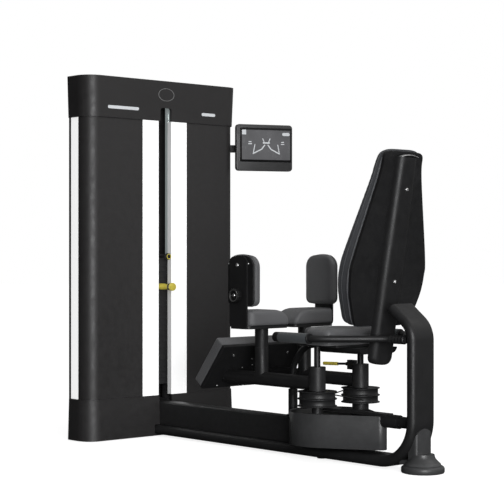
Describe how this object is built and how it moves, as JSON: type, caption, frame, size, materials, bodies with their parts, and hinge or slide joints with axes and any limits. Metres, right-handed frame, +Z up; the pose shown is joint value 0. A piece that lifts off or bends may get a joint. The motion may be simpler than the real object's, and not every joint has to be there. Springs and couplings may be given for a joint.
{
  "type": "hip abductor machine",
  "caption": "Seated hip abductor machine: weight-stack tower, C-shaped frame with seat and backrest, and swinging leg arms with thigh and knee pads.",
  "frame": {"origin": "on the floor, under the middle of the tower's depth and width", "axes": "+X from the weight tower to the seat and backrest, +Z up; the seated user faces -X; left in node names is the -Y side"},
  "size_m": [1.6805, 1.053, 1.505],
  "materials": {
    "dark_shell": "fine-grained moulded plastic, satin",
    "white_strip": "glossy white panel",
    "powder_coat": "near-black powder coat, semi-gloss",
    "bare_steel": "turned steel",
    "chrome": "polished",
    "cast_iron": "painted cast plates",
    "rubber": "matt",
    "upholstery": "dark synthetic leather, stitched",
    "dark_board": "moulded backing, matt",
    "yellow": "bright yellow, semi-gloss"
  },
  "bodies": {
    "frame": {"axle_left": "bare_steel", "axle_right": "bare_steel", "back_board": "dark_board", "back_cushion": "upholstery", "base_plate": "bare_steel", "bumper_left": "rubber", "bumper_right": "rubber", "cable_cover": "powder_coat", "display_bracket": "powder_coat", "drum_shroud": "powder_coat", "foot_pad": "dark_shell", "foot_shoe": "dark_shell", "front_shell_left": "dark_shell", "front_shell_right": "dark_shell", "front_strip_left": "white_strip", "front_strip_right": "white_strip", "grip_left": "rubber", "grip_right": "rubber", "guide_rod_left": "chrome", "guide_rod_right": "chrome", "handlebar_left": "powder_coat", "handlebar_right": "powder_coat", "header_cover": "dark_shell", "lift_cable": "rubber", "main_frame": "powder_coat", "plinth_cover": "dark_shell", "rail_glide": "rubber", "rear_cover": "dark_shell", "rear_tube": "powder_coat", "resting_plates": "cast_iron", "seat_cushion": "upholstery", "seat_frame": "powder_coat", "seat_strut": "powder_coat", "side_strip_left": "white_strip", "side_strip_right": "white_strip", "spine_channel": "powder_coat", "tower_frame": "powder_coat"},
    "lifted_stack": {"lifted_plates": "cast_iron", "selector_rod": "chrome", "head_plate": "cast_iron", "head_plate_knob": "yellow"},
    "selector_pin": {"selector_pin": "yellow"},
    "top_pulley": {"top_pulley": "bare_steel"},
    "base_pulley": {"base_pulley": "bare_steel"},
    "left_arm": {"arm_left": "powder_coat", "leg_board_left": "upholstery", "hub_wheel_left": "bare_steel"},
    "right_arm": {"arm_right": "powder_coat", "leg_board_right": "upholstery", "hub_wheel_right": "bare_steel"},
    "range_lever": {"range_lever": "yellow"},
    "left_pad_carrier": {"pad_carrier_left": "powder_coat", "thigh_pad_left": "upholstery", "knee_pad_left": "upholstery"},
    "right_pad_carrier": {"pad_carrier_right": "powder_coat", "thigh_pad_right": "upholstery", "knee_pad_right": "upholstery"},
    "left_pad_knob": {"pad_knob_left": "rubber"},
    "right_pad_knob": {"pad_knob_right": "rubber"},
    "display": {"display_case": "dark_shell"}
  },
  "joints": [
    {"name": "left_arm_swing", "type": "hinge", "parent": "frame", "child": "left_arm", "pos_m": [1.1166, -0.114, 0.2936], "axis": [0, 0, 1], "range_deg": [0, 50]},
    {"name": "right_arm_swing", "type": "hinge", "parent": "frame", "child": "right_arm", "pos_m": [1.1166, 0.114, 0.2936], "axis": [0, 0, -1], "range_deg": [0, 50]},
    {"name": "stack_lift", "type": "slide", "parent": "frame", "child": "lifted_stack", "axis": [0, 0, 1], "range_m": [0, 0.135], "deforming": ["lift_cable"]},
    {"name": "pin_pull", "type": "slide", "parent": "lifted_stack", "child": "selector_pin", "axis": [1, 0, 0], "range_m": [0, 0.1]},
    {"name": "top_pulley_spin", "type": "hinge", "parent": "frame", "child": "top_pulley", "pos_m": [-0.0305, 0, 1.35], "axis": [0, -1, 0], "range_deg": [0, 330]},
    {"name": "base_pulley_spin", "type": "hinge", "parent": "frame", "child": "base_pulley", "pos_m": [-0.0305, 0, 0.135], "axis": [0, -1, 0], "range_deg": [0, 330]},
    {"name": "left_pad_turn", "type": "hinge", "parent": "left_arm", "child": "left_pad_carrier", "pos_m": [0.81, -0.114, 0.415], "axis": [0, 0, 1], "range_deg": [0, 180]},
    {"name": "right_pad_turn", "type": "hinge", "parent": "right_arm", "child": "right_pad_carrier", "pos_m": [0.81, 0.114, 0.415], "axis": [0, 0, -1], "range_deg": [0, 180]},
    {"name": "left_knob_turn", "type": "hinge", "parent": "left_pad_carrier", "child": "left_pad_knob", "pos_m": [0.81, -0.23, 0.615], "axis": [0, -1, 0], "range_deg": [0, 180]},
    {"name": "right_knob_turn", "type": "hinge", "parent": "right_pad_carrier", "child": "right_pad_knob", "pos_m": [0.81, 0.23, 0.615], "axis": [0, 1, 0], "range_deg": [0, 180]},
    {"name": "range_lever_pull", "type": "hinge", "parent": "right_arm", "child": "range_lever", "pos_m": [1.046, 0.114, 0.352], "axis": [0, 1, 0], "range_deg": [0, 18]},
    {"name": "display_turn", "type": "hinge", "parent": "frame", "child": "display", "pos_m": [0.092, 0.524, 1.241], "axis": [0, 0, 1], "range_deg": [-12, 28]}
  ],
  "couplings": [
    {"joint": "right_arm_swing", "follows": "left_arm_swing", "ratio": 1},
    {"joint": "stack_lift", "follows": "left_arm_swing", "m_per_rad": 0.148},
    {"joint": "top_pulley_spin", "follows": "left_arm_swing", "ratio": 6.0408},
    {"joint": "base_pulley_spin", "follows": "left_arm_swing", "ratio": 6.0408}
  ]
}
